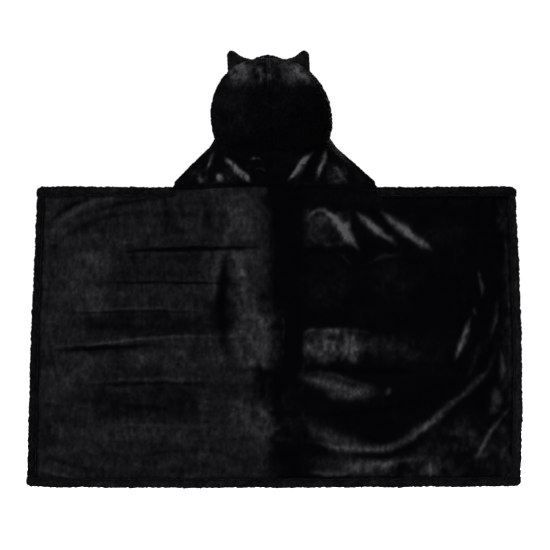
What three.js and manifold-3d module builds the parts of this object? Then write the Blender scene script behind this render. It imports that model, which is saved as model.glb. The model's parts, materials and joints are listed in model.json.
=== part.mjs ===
// A hooded plush costume cape with two small ears, hanging upright as it is worn.
//
// Millimetres, +Z up. The origin is the middle of the neck seam. +X is the wearer's right,
// +Y is the way the wearer faces, and the plush outside of the cape faces -Y.
//
// The cape body is one wide cloth. It folds forward along two upright lines just outside the
// neck seam, so each cloth is built as a back panel and two wings. The hood is a padded ball
// that opens to the front, carried on an unpadded yoke that spreads down to the neck seam.

import * as THREE from 'three';
import { mergeVertices } from 'three/addons/utils/BufferGeometryUtils.js';
import Module from 'manifold-3d';

const wasm = await Module();
wasm.setup();

// ---------------------------------------------------------------- driving dimensions

// Cape body
const bodyWidth = 1295; // across the bottom edge, measured along the cloth
const bodyDrop = 787; // neck seam to bottom edge
const neckSeamWidth = 540; // the length of the seam that joins hood and body
const foldMargin = 5; // each fold line lies this far outside the neck seam
const topWrap = 0.5; // how far a wing has curved forward at its top corner, radians
const bottomWrap = 0.1; // the same at its bottom corner

// Cloth
const shellCloth = 3.5; // plush with its pile
const liningCloth = 3; // short fleece
const layerGap = 0.3; // between layers that lie on each other
const bindingCloth = 2; // folded strip along every free edge
const bindingWidth = 26;
const bindingGap = 0.8; // between a binding and the cloths that it holds

// Clearances where the cape folds
const foldGap = 2.5; // cloths stop this far from a fold line
const bindingFoldGap = 4; // bindings are thicker and stop further away
const neckGap = 2.4; // cloths stop this far above and below the neck seam

// Hood ball: an ellipsoid, cut by a face opening and by a sloping neckline
const ballWidth = 312;
const ballDepth = 240;
const ballHeight = 316;
const ballForward = 75; // its middle lies this far in front of the back panel
const crownHeight = 344; // top of the ball above the neck seam
const faceTilt = THREE.MathUtils.degToRad(15); // the face opening leans back by this much
const faceReach = 72.5; // from the ball's middle to the plane of the face opening
const necklineTilt = THREE.MathUtils.degToRad(20.8); // the neckline rises to the front
const necklineDrop = 57; // below the ball's middle, straight down
const waddingThickness = 8;

// Face brim: a padded roll round the face opening, with a low peak over the forehead
const brimRadius = 11;
const brimPeakRise = 14;
const brimPeakHalfWidth = 60;

// Yoke edges, tapes and label
const yokeBindingRadius = 6;
const yokeBindingGap = 1.5; // the yoke twists beside it
const tapeCloth = 1.2;
const neckTapeWidth = 18;
const seamTapeWidth = 16;
const labelWidth = 34;
const labelHeight = 52;
const labelCloth = 0.8;

// Ears
const earOuter = 110; // upright outer side, from the middle of the hood
const earWidth = 69; // from the outer side to where the inner side runs out on the crown
const earRise = 21; // tips above the crown
const earTipRadius = 13;
const earThickness = 24; // both faces and the filling
const earForward = 8; // in front of the ball's middle
const earFaceCloth = 3.5;

// ---------------------------------------------------------------- derived sizes

const bodyThickness = shellCloth + layerGap + liningCloth;
const outside = -bodyThickness / 2; // plush face of the body, measured from mid-cloth
const inside = bodyThickness / 2;
const halfWidth = bodyWidth / 2;
const neckHalf = neckSeamWidth / 2;
const foldLine = neckHalf + foldMargin;
const wingLength = halfWidth - foldLine;
const edgeInset = bindingCloth + bindingGap; // free edges of the cloths inside the bindings
const ballMiddle = new THREE.Vector3(0, ballForward, crownHeight - ballHeight / 2);
const ballWall = shellCloth + waddingThickness + liningCloth + 2 * layerGap;
const faceNormal = new THREE.Vector3(0, Math.cos(faceTilt), Math.sin(faceTilt));
const faceUp = new THREE.Vector3(0, -Math.sin(faceTilt), Math.cos(faceTilt));
const necklineNormal = new THREE.Vector3(0, Math.sin(necklineTilt), -Math.cos(necklineTilt));
const necklineReach = necklineDrop * Math.cos(necklineTilt);

// ---------------------------------------------------------------- materials

const black = (colour, roughness) => (
  new THREE.MeshStandardMaterial({ color: colour, roughness, metalness: 0 })
);
const plush = black(0x1b1b1e, 0.85);
const fleece = black(0x151517, 0.95);
const bindingPlush = black(0x202023, 0.9);
const tape = black(0x101012, 0.7);
const wadding = new THREE.MeshStandardMaterial({ color: 0xe8e6e0, roughness: 1, metalness: 0 });
const satin = new THREE.MeshStandardMaterial({ color: 0xf0f0ee, roughness: 0.5, metalness: 0 });

// ---------------------------------------------------------------- shape helpers

// Leaves only shared positions, so that the mesh is one closed surface.
function bare(geometry) {
  const copy = geometry.clone();
  copy.deleteAttribute('normal');
  copy.deleteAttribute('uv');
  return mergeVertices(copy);
}

// Six times the enclosed volume; negative when the faces point inwards.
function signedVolume(geometry) {
  const { position } = geometry.attributes;
  const corners = [new THREE.Vector3(), new THREE.Vector3(), new THREE.Vector3()];
  let total = 0;
  for (let face = 0; face < geometry.index.count; face += 3) {
    corners.forEach((corner, i) => {
      corner.fromBufferAttribute(position, geometry.index.getX(face + i));
    });
    total += corners[0].dot(corners[1].cross(corners[2]));
  }
  return total;
}

function turnFacesOut(geometry) {
  if (signedVolume(geometry) > 0) return geometry;
  const { index } = geometry;
  for (let face = 0; face < index.count; face += 3) {
    const first = index.getX(face);
    index.setX(face, index.getX(face + 1));
    index.setX(face + 1, first);
  }
  return geometry;
}

// Moves every vertex of a straight-built solid to its place on the curved cloth.
function shaped(geometry, place) {
  const solid = bare(geometry);
  const { position } = solid.attributes;
  const vertex = new THREE.Vector3();
  for (let i = 0; i < position.count; i += 1) {
    const target = place(vertex.fromBufferAttribute(position, i));
    position.setXYZ(i, target.x, target.y, target.z);
  }
  return turnFacesOut(solid);
}

// The numbers of a grid's border vertices, once round. The grid is stored row by row.
function borderOf(cellsAcross, cellsDown) {
  const row = cellsAcross + 1;
  const border = [];
  for (let i = 0; i < cellsAcross; i += 1) border.push(i);
  for (let i = 0; i < cellsDown; i += 1) border.push(cellsAcross + i * row);
  for (let i = cellsAcross; i > 0; i -= 1) border.push(i + cellsDown * row);
  for (let i = cellsDown; i > 0; i -= 1) border.push(i * row);
  return border;
}

// A slab between two corners, divided into cells along its first two directions. Both large
// faces are divided along the same diagonals, so that layers stay apart on a twisted cloth.
function slab(low, high, cellsAcross, cellsDown) {
  const [width, height] = [high[0] - low[0], high[1] - low[1]];
  const sheet = new THREE.PlaneGeometry(width, height, cellsAcross, cellsDown);
  sheet.translate(low[0] + width / 2, low[1] + height / 2, 0);
  const upper = sheet.clone().translate(0, 0, high[2]);
  const lower = sheet.clone().translate(0, 0, low[2]);
  const { count } = sheet.attributes.position;
  const faces = Array.from(sheet.index.array);
  const underside = faces.map((vertex) => vertex + count).reverse();
  const border = borderOf(cellsAcross, cellsDown);
  const walls = border.flatMap((start, i) => {
    const end = border[(i + 1) % border.length];
    return [start, end, start + count, end, end + count, start + count];
  });
  const solid = new THREE.BufferGeometry();
  const positions = [...upper.attributes.position.array, ...lower.attributes.position.array];
  solid.setAttribute('position', new THREE.Float32BufferAttribute(positions, 3));
  solid.setIndex([...faces, ...underside, ...walls]);
  return solid;
}

// A round roll along a smooth path.
function roll(points, radius, sides, steps) {
  const circle = new THREE.Shape();
  for (let i = 0; i < sides; i += 1) {
    const angle = (2 * Math.PI * i) / sides;
    const corner = [radius * Math.cos(angle), radius * Math.sin(angle)];
    if (i === 0) circle.moveTo(...corner);
    else circle.lineTo(...corner);
  }
  const extrudePath = new THREE.CatmullRomCurve3(points);
  return bare(new THREE.ExtrudeGeometry(circle, { steps, extrudePath, bevelEnabled: false }));
}

function toManifold(geometry) {
  const solid = bare(geometry);
  return new wasm.Manifold(new wasm.Mesh({
    numProp: 3,
    vertProperties: new Float32Array(solid.attributes.position.array),
    triVerts: new Uint32Array(solid.index.array),
  }));
}

function fromManifold(solid) {
  const { numProp, vertProperties, triVerts } = solid.getMesh();
  const geometry = new THREE.BufferGeometry();
  geometry.setAttribute('position', new THREE.BufferAttribute(vertProperties, numProp));
  geometry.setIndex(new THREE.BufferAttribute(triVerts, 1));
  return geometry;
}

// ---------------------------------------------------------------- cape body

// The hanging cloth. across is measured along the cloth from the middle, down from the neck
// seam, and through from mid-cloth towards the wearer. A wing curves forward along an arc that
// tightens towards the top, where the shoulders pull it round.
function onBody({ x: across, y: down, z: through }) {
  const side = Math.sign(across);
  const beyond = Math.max(Math.abs(across) - foldLine, 0);
  const wrap = THREE.MathUtils.mapLinear(down, 0, bodyDrop, topWrap, bottomWrap);
  const radius = wingLength / wrap;
  const turn = beyond / radius;
  const flat = Math.min(Math.abs(across), foldLine);
  return new THREE.Vector3(
    side * (flat + (radius - through) * Math.sin(turn)),
    radius - (radius - through) * Math.cos(turn),
    -down,
  );
}

function bodyCloth(fromAcross, toAcross, fromDown, fromThrough, toThrough, cellsAcross) {
  const low = [fromAcross, fromDown, fromThrough];
  const high = [toAcross, bodyDrop - edgeInset, toThrough];
  return shaped(slab(low, high, cellsAcross, 12), onBody);
}

// A strip folded over an edge: its section is a C that is open away from the edge. place turns
// distance from the edge, distance through the cloth and distance along the edge into a point.
function edgeBinding(fromAlong, toAlong, cells, place) {
  const mouth = inside + bindingGap;
  const back = mouth + bindingCloth;
  const section = new THREE.Shape();
  section.moveTo(0, -back);
  section.lineTo(bindingWidth, -back);
  section.lineTo(bindingWidth, -mouth);
  section.lineTo(bindingCloth, -mouth);
  section.lineTo(bindingCloth, mouth);
  section.lineTo(bindingWidth, mouth);
  section.lineTo(bindingWidth, back);
  section.lineTo(0, back);
  const depth = toAlong - fromAlong;
  const strip = new THREE.ExtrudeGeometry(section, { depth, steps: cells, bevelEnabled: false });
  return shaped(strip.translate(0, 0, fromAlong), place);
}

const alongBottom = ({ x: fromEdge, y: through, z: along }) => (
  onBody({ x: along, y: bodyDrop - fromEdge, z: through })
);
const alongTop = ({ x: fromEdge, y: through, z: along }) => (
  onBody({ x: along, y: fromEdge, z: through })
);
const alongSide = (side) => ({ x: fromEdge, y: through, z: along }) => (
  onBody({ x: side * (halfWidth - fromEdge), y: along, z: through })
);

function backPanel() {
  const reach = foldLine - foldGap;
  const bindingReach = foldLine - bindingFoldGap;
  const linedFrom = outside + shellCloth + layerGap;
  return {
    back_panel_shell: [
      bodyCloth(-reach, reach, neckGap, outside, outside + shellCloth, 4), plush],
    back_panel_lining: [bodyCloth(-reach, reach, neckGap, linedFrom, inside, 4), fleece],
    back_bottom_binding: [
      edgeBinding(-bindingReach, bindingReach, 4, alongBottom), bindingPlush],
  };
}

// side is -1 for the wearer's left and +1 for the right.
function wing(side) {
  const name = side < 0 ? 'left' : 'right';
  const ordered = (near, far) => (side < 0 ? [-far, -near] : [near, far]);
  const cloth = ordered(foldLine + foldGap, halfWidth - edgeInset);
  const bound = ordered(foldLine + bindingFoldGap, halfWidth);
  const linedFrom = outside + shellCloth + layerGap;
  const sideTop = bindingWidth + layerGap;
  const sideBottom = bodyDrop - bindingWidth - layerGap;
  return {
    [`${name}_wing_shell`]: [
      bodyCloth(...cloth, edgeInset, outside, outside + shellCloth, 12), plush],
    [`${name}_wing_lining`]: [bodyCloth(...cloth, edgeInset, linedFrom, inside, 12), fleece],
    [`${name}_top_binding`]: [edgeBinding(...bound, 12, alongTop), bindingPlush],
    [`${name}_side_binding`]: [
      edgeBinding(sideTop, sideBottom, 24, alongSide(side)), bindingPlush],
    [`${name}_bottom_binding`]: [edgeBinding(...bound, 6, alongBottom), bindingPlush],
  };
}

// A tape over the neck seam's raw edges, and a blank care label below it.
function neckFittings() {
  const tapeFrom = inside + layerGap;
  const tapeTop = neckGap + layerGap;
  const tapeBottom = tapeTop + neckTapeWidth;
  const labelTop = tapeBottom + layerGap;
  const tapeSolid = slab(
    [-neckHalf, tapeTop, tapeFrom],
    [neckHalf, tapeBottom, tapeFrom + tapeCloth],
    4,
    1,
  );
  const labelSolid = slab(
    [-labelWidth / 2, labelTop, tapeFrom],
    [labelWidth / 2, labelTop + labelHeight, tapeFrom + labelCloth],
    1,
    2,
  );
  return {
    neck_tape: [shaped(tapeSolid, onBody), tape],
    care_label: [shaped(labelSolid, onBody), satin],
  };
}

// ---------------------------------------------------------------- hood ball

const ballAxes = (inset) => new THREE.Vector3(
  ballWidth / 2 - inset,
  ballDepth / 2 - inset,
  ballHeight / 2 - inset,
);

function ballSolid(inset) {
  const ball = new THREE.SphereGeometry(1, 24, 16);
  ball.scale(...ballAxes(inset).toArray());
  ball.translate(...ballMiddle.toArray());
  return toManifold(ball);
}

// Everything beyond a plane that lies the given distance from the ball's middle.
function beyondPlane(normal, distance) {
  const size = 4 * ballHeight;
  const block = new THREE.BoxGeometry(size, size, size);
  block.translate(0, 0, distance + size / 2);
  const up = new THREE.Vector3(0, 0, 1);
  block.applyQuaternion(new THREE.Quaternion().setFromUnitVectors(up, normal));
  block.translate(...ballMiddle.toArray());
  return toManifold(block);
}

// Everything on the other side of an upright plane that stands this far to the given side.
const otherSide = (side, distance) => beyondPlane(new THREE.Vector3(-side, 0, 0), -distance);

// One layer of the ball's wall, open at the face and at the neck.
function ballLayer(fromInset, thickness) {
  return ballSolid(fromInset)
    .subtract(ballSolid(fromInset + thickness))
    .subtract(beyondPlane(faceNormal, faceReach))
    .subtract(beyondPlane(necklineNormal, necklineReach));
}

// Distance from a point to the ball's surface in a direction, all measured from its middle.
function reachBall(from, direction, inset) {
  const axes = ballAxes(inset);
  const start = from.clone().divide(axes);
  const step = direction.clone().divide(axes);
  const a = step.lengthSq();
  const b = start.dot(step);
  const c = start.lengthSq() - 1;
  return (Math.sqrt(b * b - a * c) - b) / a;
}

// The front corner of the neckline, where face opening and neckline meet on the ball.
function neckCorner() {
  const slope = Math.tan(necklineTilt);
  const forward = (faceReach + necklineDrop * faceNormal.z)
    / (faceNormal.y + slope * faceNormal.z);
  const corner = new THREE.Vector3(0, forward, forward * slope - necklineDrop);
  corner.x = reachBall(corner, new THREE.Vector3(1, 0, 0), 0);
  return corner;
}

const hoodLayers = [
  ['shell', 0, shellCloth, plush],
  ['wadding', shellCloth + layerGap, waddingThickness, wadding],
  ['lining', ballWall - liningCloth, liningCloth, fleece],
];

function hoodBall() {
  const pieces = {};
  hoodLayers.forEach(([layer, inset, thickness, material]) => {
    const wall = ballLayer(inset, thickness);
    [['left', -1], ['right', 1]].forEach(([name, side]) => {
      const half = wall.subtract(otherSide(side, layerGap / 2));
      pieces[`${name}_hood_${layer}`] = [fromManifold(half), material];
    });
  });
  return pieces;
}

// Covers the raw edges of the lining's centre seam, from the neck over the crown to the brim.
function hoodSeamTape() {
  const strip = ballLayer(ballWall + layerGap, tapeCloth)
    .subtract(otherSide(1, -seamTapeWidth / 2))
    .subtract(otherSide(-1, -seamTapeWidth / 2));
  return { hood_seam_tape: [fromManifold(strip), tape] };
}

// ---------------------------------------------------------------- face brim

function faceBrim() {
  const start = faceNormal.clone().multiplyScalar(faceReach);
  const corner = neckCorner().sub(start);
  const cornerAngle = Math.atan2(corner.x, corner.dot(faceUp));
  const forward = faceNormal.clone().multiplyScalar(brimRadius + layerGap);
  const steps = 28;
  const points = Array.from({ length: steps + 1 }, (_, i) => {
    const angle = THREE.MathUtils.lerp(-cornerAngle, cornerAngle, i / steps);
    const direction = new THREE.Vector3(Math.sin(angle), 0, 0)
      .addScaledVector(faceUp, Math.cos(angle));
    const reach = reachBall(start, direction, ballWall / 2);
    const point = start.clone().addScaledVector(direction, reach);
    const fade = Math.min(Math.abs(point.x) / brimPeakHalfWidth, 1);
    const peak = direction.dot(faceUp) > 0 ? Math.cos((fade * Math.PI) / 2) ** 2 : 0;
    return point.addScaledVector(faceUp, brimPeakRise * peak).add(forward).add(ballMiddle);
  });
  return { face_brim: [roll(points, brimRadius, 8, steps), bindingPlush] };
}

// ---------------------------------------------------------------- yoke

// The neckline seen from above: turned 0 is the back, and it grows towards either side.
function onNeckline(turned) {
  const backward = -Math.cos(turned);
  const direction = new THREE.Vector3(
    Math.sin(turned),
    backward,
    backward * Math.tan(necklineTilt),
  );
  const start = new THREE.Vector3(0, 0, -necklineDrop);
  const reach = reachBall(start, direction, 0);
  return start.addScaledVector(direction, reach).add(ballMiddle);
}

const cornerTurn = Math.atan2(neckCorner().x, -neckCorner().y);

// The yoke's plush face: straight lines from the neck seam (height 0) to the neckline
// (height 1). across runs from -1 to 1 between the two front edges.
function yokeFace(across, height) {
  const seam = new THREE.Vector3(across * neckHalf, outside, 0);
  return seam.lerp(onNeckline(across * cornerTurn), height);
}

function yokeFrame(across, height) {
  const step = 0.001;
  const point = yokeFace(across, height);
  const sideways = yokeFace(across + step, height).sub(point).normalize();
  const upward = yokeFace(across, height + step).sub(point).normalize();
  const inward = new THREE.Vector3().crossVectors(upward, sideways).normalize();
  const offEdge = new THREE.Vector3().crossVectors(inward, upward);
  return { point, inward, offEdge };
}

// One cloth of the yoke, cut level above the neck seam and along the neckline.
function yokeLayer(fromDepth, thickness) {
  const overrun = 0.15; // past both seams, so that the cuts leave clean edges
  const flat = slab([-1, -overrun, fromDepth], [1, 1 + overrun, fromDepth + thickness], 20, 5);
  const solid = shaped(flat, ({ x: across, y: height, z: depth }) => {
    const { point, inward } = yokeFrame(across, height);
    return point.addScaledVector(inward, depth);
  });
  const down = new THREE.Vector3(0, 0, -1);
  const upFromNeckline = necklineNormal.clone().negate();
  return toManifold(solid)
    .subtract(beyondPlane(down, ballMiddle.z - neckGap))
    .subtract(beyondPlane(upFromNeckline, -necklineReach - layerGap));
}

// A soft roll along a front edge of the yoke.
function yokeBinding(side) {
  const lowest = (neckGap + 2 * yokeBindingRadius) / neckCorner().add(ballMiddle).z;
  const highest = 0.88;
  const steps = 8;
  const points = Array.from({ length: steps + 1 }, (_, i) => {
    const height = THREE.MathUtils.lerp(lowest, highest, i / steps);
    const { point, inward, offEdge } = yokeFrame(side, height);
    return point
      .addScaledVector(offEdge, side * (yokeBindingRadius + yokeBindingGap))
      .addScaledVector(inward, bodyThickness / 2);
  });
  return roll(points, yokeBindingRadius, 8, 12);
}

function yoke() {
  const pieces = {};
  const layers = [
    ['shell', yokeLayer(0, shellCloth), plush],
    ['lining', yokeLayer(shellCloth + layerGap, liningCloth), fleece],
  ];
  [['left', -1], ['right', 1]].forEach(([name, side]) => {
    layers.forEach(([layer, solid, material]) => {
      const half = solid.subtract(otherSide(side, layerGap / 2));
      pieces[`${name}_yoke_${layer}`] = [fromManifold(half), material];
    });
    pieces[`${name}_yoke_binding`] = [yokeBinding(side), bindingPlush];
  });
  return pieces;
}

// ---------------------------------------------------------------- ears

// The ear seen from behind: an upright outer side, a round tip and a hollow inner side that
// runs out on the crown. trim draws the outline in, for the filling.
function earOutline(trim) {
  const outer = earOuter - trim;
  const inner = earOuter - earWidth + trim;
  const top = crownHeight + earRise - trim;
  const foot = ballMiddle.z;
  const outline = new THREE.Shape();
  outline.moveTo(outer, foot);
  outline.lineTo(outer, top - earTipRadius);
  outline.quadraticCurveTo(outer, top, outer - earTipRadius, top);
  outline.quadraticCurveTo(
    outer - 2 * earTipRadius,
    top,
    outer - 0.55 * earWidth,
    top - 0.5 * earRise,
  );
  outline.quadraticCurveTo(outer - 0.7 * earWidth, crownHeight + 2, inner, crownHeight - 2);
  outline.lineTo(inner, foot);
  return outline;
}

function earPlate(side, trim, fromDepth, thickness) {
  const settings = { depth: thickness, bevelEnabled: false, curveSegments: 6 };
  const plate = new THREE.ExtrudeGeometry(earOutline(trim), settings);
  plate.rotateX(Math.PI / 2);
  const middle = ballForward + earForward;
  plate.translate(0, middle - earThickness / 2 + fromDepth + thickness, 0);
  if (side < 0) plate.scale(-1, 1, 1);
  const solid = turnFacesOut(bare(plate));
  return fromManifold(toManifold(solid).subtract(ballSolid(-layerGap)));
}

function ear(side) {
  const name = side < 0 ? 'left' : 'right';
  const fillingFrom = earFaceCloth + layerGap;
  const filling = earThickness - 2 * fillingFrom;
  const frontFrom = earThickness - earFaceCloth;
  return {
    [`${name}_ear_back`]: [earPlate(side, 0, 0, earFaceCloth), plush],
    [`${name}_ear_filling`]: [earPlate(side, earFaceCloth, fillingFrom, filling), wadding],
    [`${name}_ear_front`]: [earPlate(side, 0, frontFrom, earFaceCloth), plush],
  };
}

// ---------------------------------------------------------------- assembly

const pieces = {
  ...backPanel(),
  ...neckFittings(),
  ...wing(-1),
  ...wing(1),
  ...hoodBall(),
  ...hoodSeamTape(),
  ...yoke(),
  ...faceBrim(),
  ...ear(-1),
  ...ear(1),
};

const cape = new THREE.Group();
Object.entries(pieces).forEach(([name, [geometry, material]]) => {
  const mesh = new THREE.Mesh(geometry, material);
  mesh.name = name;
  cape.add(mesh);
});

export default cape;
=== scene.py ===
"""A hooded black plush cape with two small ears, hanging upright and seen from behind.

Every length is in millimetres until a mesh is made. +X is the wearer's right, +Y the way the
wearer faces, +Z up, and the origin is the middle of the neck seam, as in the CAD frame.
"""

import json
import math
from collections import namedtuple

import bpy
import numpy as np
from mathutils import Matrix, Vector


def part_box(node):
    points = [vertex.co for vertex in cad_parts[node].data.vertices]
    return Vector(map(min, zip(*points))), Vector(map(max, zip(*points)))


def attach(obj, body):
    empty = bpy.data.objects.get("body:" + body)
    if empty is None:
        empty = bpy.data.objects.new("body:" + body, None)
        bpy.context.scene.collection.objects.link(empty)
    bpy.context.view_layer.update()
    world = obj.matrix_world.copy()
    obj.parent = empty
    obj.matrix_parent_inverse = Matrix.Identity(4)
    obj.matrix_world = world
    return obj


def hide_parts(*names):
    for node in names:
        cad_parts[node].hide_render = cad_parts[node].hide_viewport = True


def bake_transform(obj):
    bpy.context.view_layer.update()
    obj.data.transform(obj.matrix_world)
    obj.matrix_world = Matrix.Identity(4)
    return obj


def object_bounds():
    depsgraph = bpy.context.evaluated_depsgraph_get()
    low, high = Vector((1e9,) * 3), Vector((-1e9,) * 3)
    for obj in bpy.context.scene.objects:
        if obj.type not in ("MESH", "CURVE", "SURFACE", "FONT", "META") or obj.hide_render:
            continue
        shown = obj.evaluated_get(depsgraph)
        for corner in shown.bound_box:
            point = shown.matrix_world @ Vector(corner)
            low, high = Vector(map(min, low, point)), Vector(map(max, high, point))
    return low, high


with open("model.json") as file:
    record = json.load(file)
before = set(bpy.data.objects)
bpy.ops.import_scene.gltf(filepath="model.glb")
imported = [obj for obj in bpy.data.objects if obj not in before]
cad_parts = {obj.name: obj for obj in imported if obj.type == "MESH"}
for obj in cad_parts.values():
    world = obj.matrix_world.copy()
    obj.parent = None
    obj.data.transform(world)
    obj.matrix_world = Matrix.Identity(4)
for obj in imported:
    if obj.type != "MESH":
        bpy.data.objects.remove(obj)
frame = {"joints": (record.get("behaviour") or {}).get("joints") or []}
cad_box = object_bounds()

# ------------------------------ sizes, as in the CAD source

MM = 0.001
SIDES = (("left", -1), ("right", 1))

joints = {joint["name"]: joint for joint in frame["joints"]}
fold_line = joints["right_wing_wrap"]["pos_m"][0] / MM
neck_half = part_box("neck_tape")[1].x / MM
body_drop = -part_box("back_bottom_binding")[0].z / MM

half_width = 647.5  # along the cloth, from the middle to a side edge
top_wrap = 0.5  # how far a wing curves forward at its top corner, radians
bottom_wrap = 0.1
wing_length = half_width - fold_line

plush_cloth = 3.5
lining_cloth = 3.0
layer_gap = 0.3
body_thickness = plush_cloth + layer_gap + lining_cloth
outside = -body_thickness / 2
inside = body_thickness / 2
binding_cloth = 2.0
binding_width = 26.0
binding_gap = 0.8
edge_inset = binding_cloth + binding_gap
seam_bow = 3.0  # the neck seam rises by this much in the middle
wing_bend = (-7, 58)  # the stretch named in a wing's blend, from inside the fold line to outside it
yoke_bend = (2, 50)  # and in the yoke's blend, above the neck seam

ball_middle = np.array([0.0, 75.0, 186.0])
ball_axes = np.array([159.5, 120.0, 158.0])
ball_squareness = 2.12  # 2 is an ellipsoid; more has squarer shoulders
face_tilt = math.radians(15)
face_reach = 72.5
neckline_tilt = math.radians(20.8)
neckline_drop = 57.0
wadding_cloth = 8.0
ball_wall = plush_cloth + wadding_cloth + lining_cloth + 2 * layer_gap
hood_lean = -0.052  # the hood leans to the wearer's left, per millimetre of height

hood_overlap = 0.012  # the ball's cloths run under the brim, as a share of their length
neckline_overlap = 0.022  # and below the neckline
yoke_overlap = 0.035  # the yoke runs past both its seams, as a share of its height
widest_turn = 88.5  # degrees from the centre seam to the corner of the face opening
wadding_end = 0.955  # where the wadding stops short of the brim
wadding_turn = 80

brim_radius = 11.0
brim_peak_rise = 14.0
brim_peak_half_width = 60.0
yoke_roll_radius = 6.0
tape_cloth = 1.2
neck_tape_width = 18.0
seam_tape_width = 16.0
label_width = 34.0
label_height = 52.0
label_cloth = 0.8

ear_outer = 109.0  # 1 mm less than the CAD's, because the pile stands out
ear_width = 69.0
ear_top = 365.0
ear_thickness = 24.0
ear_forward = 8.0
ear_edge = 12.0  # the filling reaches its full thickness this far from the ear's edge

# ------------------------------ noise and folds

LATTICE = np.random.default_rng(11).uniform(-1, 1, (32, 32, 32))

FOLD_WARP = 0.25  # folds stray less than patches, by this share

# The fourth value of a fold or a patch paints sheen into the plush's colour: above zero a painted
# highlight, below zero painted shade.
Fold = namedtuple("Fold", "points width height nap")
Patch = namedtuple("Patch", "low high soft nap height broken", defaults=(0.0, True))


def noise(points, cell, seed=0):
    """Smooth noise from -1 to 1 with lumps about one cell long. cell may be three lengths."""
    place = np.asarray(points, float) / cell + 7.31 * seed
    whole = np.floor(place).astype(int)
    part = place - whole
    part = part * part * (3 - 2 * part)
    total = np.zeros(place.shape[:-1])
    for corner in np.ndindex(2, 2, 2):
        weight = np.prod(np.where(corner, part, 1 - part), axis=-1)
        at = (whole + corner) % LATTICE.shape[0]
        total += weight * LATTICE[at[..., 0], at[..., 1], at[..., 2]]
    return total


def flat_noise(across, up, cell, seed=0):
    """Noise on a flat pattern. cell is the lump's length across and up."""
    points = np.stack([across / cell[0], up / cell[1], np.full_like(across, seed)], -1)
    return noise(points, 1.0, seed)


def unit(vectors):
    return vectors / np.linalg.norm(vectors, axis=-1, keepdims=True)


def lumps(points, *layers):
    """Noise in several sizes at once. Each layer is a height, a cell and a seed."""
    return sum(height * noise(points, cell, seed) for height, cell, seed in layers)


def smooth(low, high, value):
    """0 below low, 1 above high, and smooth between."""
    share = np.clip((value - low) / (high - low), 0, 1)
    return share * share * (3 - 2 * share)


def distance_to(points, across, up):
    """Distance to a line through the points, and how far along it the nearest place is, 0 to 1."""
    spans = list(zip(points, points[1:]))
    lengths = [math.dist(a, b) for a, b in spans]
    nearest = np.full(across.shape, np.inf)
    along = np.zeros(across.shape)
    done = 0.0
    for (a, b), length in zip(spans, lengths):
        step = ((b[0] - a[0]) / length, (b[1] - a[1]) / length)
        reach = np.clip((across - a[0]) * step[0] + (up - a[1]) * step[1], 0, length)
        gap = np.hypot(across - a[0] - reach * step[0], up - a[1] - reach * step[1])
        closer = gap < nearest
        nearest = np.where(closer, gap, nearest)
        along = np.where(closer, (done + reach) / sum(lengths), along)
        done += length
    return nearest, along


def curved(points, steps=6):
    """More points on a smooth line through the given ones."""
    ends = [points[0], *points, points[-1]]
    line = []
    for before, start, end, after in zip(ends, ends[1:], ends[2:], ends[3:]):
        for i in range(steps):
            t = i / steps
            line.append(tuple(
                0.5 * (2 * q + (r - p) * t + (2 * p - 5 * q + 4 * r - s) * t * t
                       + (3 * q - p - 3 * r + s) * t ** 3)
                for p, q, r, s in zip(before, start, end, after)
            ))
    return line + [points[-1]]


def laid(folds, patches, across, up):
    """Height towards the outside and the painted sheen and painted shade laid into the colour, from
    folds and patches.
    Nothing in cloth is straight, so the pattern is warped by noise, patches more than folds."""
    height = np.zeros(across.shape)
    nap = np.zeros(across.shape)
    fine_cell = (19, 19)

    def uneven(cell, seed):
        return flat_noise(across, up, cell, seed)

    warp_across = 16 * uneven((70, 60), 5) + 6 * uneven(fine_cell, 15)
    warp_up = 14 * uneven((80, 55), 25) + 6 * uneven(fine_cell, 35)
    ragged = 1 + 0.3 * uneven((24, 24), 45)
    # Patchy painted sheen, breaking up the folds' and patches' painted highlights.
    patchy_sheen = np.clip(0.85 + 0.55 * uneven((30, 22), 55) + 0.5 * uneven((11, 14), 65), 0, 1.6)
    for fold in folds:
        line = curved(fold.points) if len(fold.points) > 2 else fold.points
        gap, along = distance_to(
            line, across + FOLD_WARP * warp_across, up + FOLD_WARP * warp_up)
        taper = np.sqrt(np.clip(np.sin(np.pi * np.clip(along, 0.02, 0.98)), 0, 1))
        shape = np.exp(-(gap / (fold.width * ragged * (0.45 + 0.55 * taper))) ** 2) * taper
        height += fold.height * shape
        nap += fold.nap * shape * (0.7 + 0.3 * patchy_sheen)
    for patch in patches:
        (low_across, low_up), (high_across, high_up) = patch.low, patch.high
        soft = patch.soft
        at_across, at_up = across + warp_across, up + warp_up
        shape = (
            smooth(low_across - soft, low_across + soft, at_across)
            * (1 - smooth(high_across - soft, high_across + soft, at_across))
            * smooth(low_up - soft, low_up + soft, at_up)
            * (1 - smooth(high_up - soft, high_up + soft, at_up))
        )
        height += patch.height * shape
        nap += patch.nap * shape * (patchy_sheen if patch.broken else 1)
    return height, nap


# ------------------------------ materials


def node_material(name, colour, roughness, sheen, sheen_roughness, specular):
    material = bpy.data.materials.new(name)
    material.use_nodes = True
    tree = material.node_tree
    shader = tree.nodes["Principled BSDF"]
    shader.inputs["Base Color"].default_value = (*colour, 1)
    shader.inputs["Roughness"].default_value = roughness
    shader.inputs["Sheen Weight"].default_value = sheen
    shader.inputs["Sheen Roughness"].default_value = sheen_roughness
    shader.inputs["Specular IOR Level"].default_value = specular
    return material, tree, shader


def add(tree, kind, inputs=(), **settings):
    node = tree.nodes.new(kind)
    for key, value in settings.items():
        setattr(node, key, value)
    for key, value in dict(inputs).items():
        if isinstance(value, bpy.types.NodeSocket):
            tree.links.new(value, node.inputs[key])
        else:
            node.inputs[key].default_value = value
    return node


def maths(tree, operation, first, second):
    node = add(tree, "ShaderNodeMath", operation=operation)
    for socket, value in zip(node.inputs, (first, second)):
        if isinstance(value, bpy.types.NodeSocket):
            tree.links.new(value, socket)
        else:
            socket.default_value = value
    return node.outputs[0]


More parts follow.
